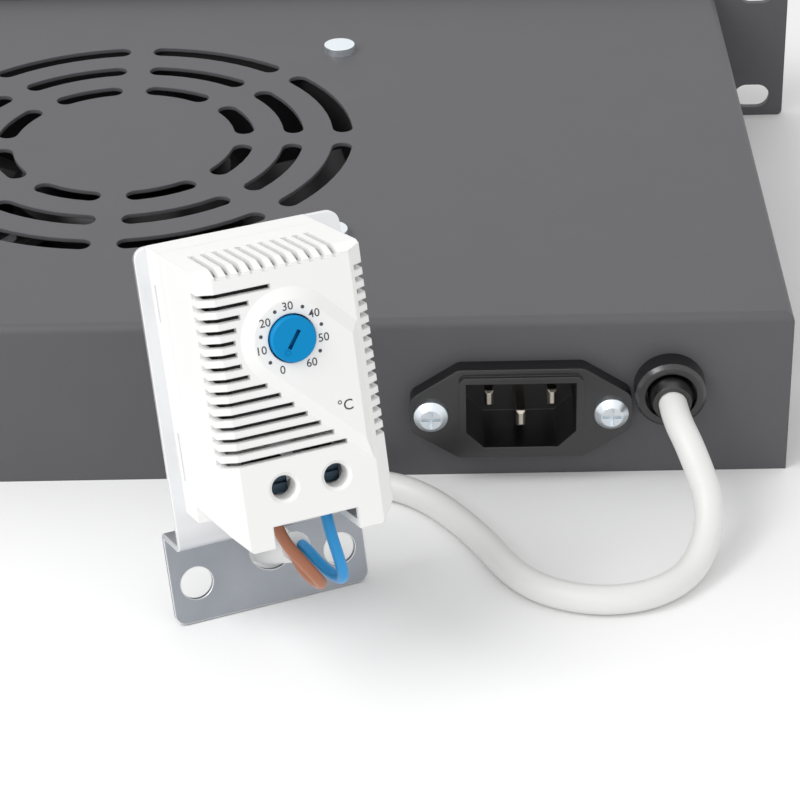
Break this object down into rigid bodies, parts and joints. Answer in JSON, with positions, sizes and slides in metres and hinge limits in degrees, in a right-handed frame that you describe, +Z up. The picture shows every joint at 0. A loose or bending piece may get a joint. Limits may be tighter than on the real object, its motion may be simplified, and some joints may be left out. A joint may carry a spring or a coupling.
{
  "type": "rack fan tray",
  "caption": "Low rack-mount fan tray: axial fans under a stamped grille, a mains inlet, and a vented thermostat on its steel bracket, wired by a lead through a gland.",
  "frame": {"origin": "centre of the four rack slots, on the front panel's outer face", "axes": "+X along the rack towards the inlet end, +Y out of the rack through the front panel, +Z up"},
  "size_m": [0.4826, 0.2779, 0.0928],
  "materials": {
    "black_powder_coat": "matt powder coat",
    "zinc_fasteners": "bright zinc plate",
    "black_fan_casting": "satin black",
    "black_fan_plastic": "moulded",
    "bearing_steel": "ground",
    "rotor_steel": "plain steel",
    "copper_windings": "enamelled copper wire",
    "inlet_plastic": "moulded",
    "plated_pins": "nickel plate",
    "terminal_plastic": "moulded",
    "terminal_brass": "plain",
    "galvanised_sheet": "galvanised",
    "white_plastic": "fine moulded texture",
    "grey_plastic": "moulded",
    "blue_knob_plastic": "moulded",
    "switch_plastic": "moulded",
    "bimetal": "rolled strip",
    "white_pvc": "satin sheath",
    "brown_pvc": "satin insulation",
    "blue_pvc": "satin insulation",
    "earth_pvc": "green and yellow insulation",
    "black_pvc": "satin sheath"
  },
  "bodies": {
    "tray": {"bearing_lower_left": "bearing_steel", "bearing_lower_right": "bearing_steel", "bearing_upper_left": "bearing_steel", "bearing_upper_right": "bearing_steel", "bimetal_strip": "bimetal", "bottom_lid": "black_powder_coat", "cable_gland": "inlet_plastic", "chassis": "black_powder_coat", "core_blue": "blue_pvc", "core_brown": "brown_pvc", "earth_nut": "zinc_fasteners", "earth_ring": "zinc_fasteners", "fan_frame_left": "black_fan_casting", "fan_frame_right": "black_fan_casting", "fan_lead_left": "black_pvc", "fan_lead_right": "black_pvc", "fan_nuts_left": "zinc_fasteners", "fan_nuts_right": "zinc_fasteners", "fan_screws_left": "zinc_fasteners", "fan_screws_right": "zinc_fasteners", "front_panel": "black_powder_coat", "inlet_housing": "inlet_plastic", "inlet_nuts": "zinc_fasteners", "inlet_screws": "zinc_fasteners", "lead_earth": "earth_pvc", "lead_live": "brown_pvc", "lead_neutral": "blue_pvc", "lid_nuts": "zinc_fasteners", "lid_screws": "zinc_fasteners", "panel_nuts": "zinc_fasteners", "panel_screws": "zinc_fasteners", "pin_earth": "plated_pins", "pin_live": "plated_pins", "pin_neutral": "plated_pins", "stator_coils_left": "copper_windings", "stator_coils_right": "copper_windings", "stator_core_left": "rotor_steel", "stator_core_right": "rotor_steel", "switch_module": "switch_plastic", "terminal_block": "terminal_plastic", "terminal_block_nuts": "terminal_brass", "terminal_clamps": "terminal_brass", "terminal_screws": "zinc_fasteners", "thermostat_base": "white_plastic", "thermostat_bracket": "galvanised_sheet", "thermostat_cover": "white_plastic", "thermostat_lead": "white_pvc", "thermostat_lead_tail": "white_pvc"},
    "fan_right": {"impeller_right": "black_fan_plastic", "rotor_cup_right": "rotor_steel", "fan_shaft_right": "bearing_steel"},
    "fan_left": {"impeller_left": "black_fan_plastic", "rotor_cup_left": "rotor_steel", "fan_shaft_left": "bearing_steel"},
    "knob": {"temperature_knob": "blue_knob_plastic", "knob_spindle": "grey_plastic"},
    "clip": {"rail_clip": "grey_plastic"}
  },
  "joints": [
    {"name": "fan_right_spin", "type": "hinge", "parent": "tray", "child": "fan_right", "pos_m": [0.065, -0.095, 0], "axis": [0, 0, 1], "continuous": true},
    {"name": "fan_left_spin", "type": "hinge", "parent": "tray", "child": "fan_left", "pos_m": [-0.085, -0.095, 0], "axis": [0, 0, 1], "continuous": true},
    {"name": "knob_turn", "type": "hinge", "parent": "tray", "child": "knob", "pos_m": [0.1125, -0.25876, 0.05628], "axis": [-0.359, 0.8894, -0.2832], "range_deg": [-10.6, 292.6]},
    {"name": "clip_slide", "type": "slide", "parent": "tray", "child": "clip", "axis": [0.106, -0.2626, -0.9591], "range_m": [0, 0.0025], "stiffness_N_per_m": 1500}
  ]
}
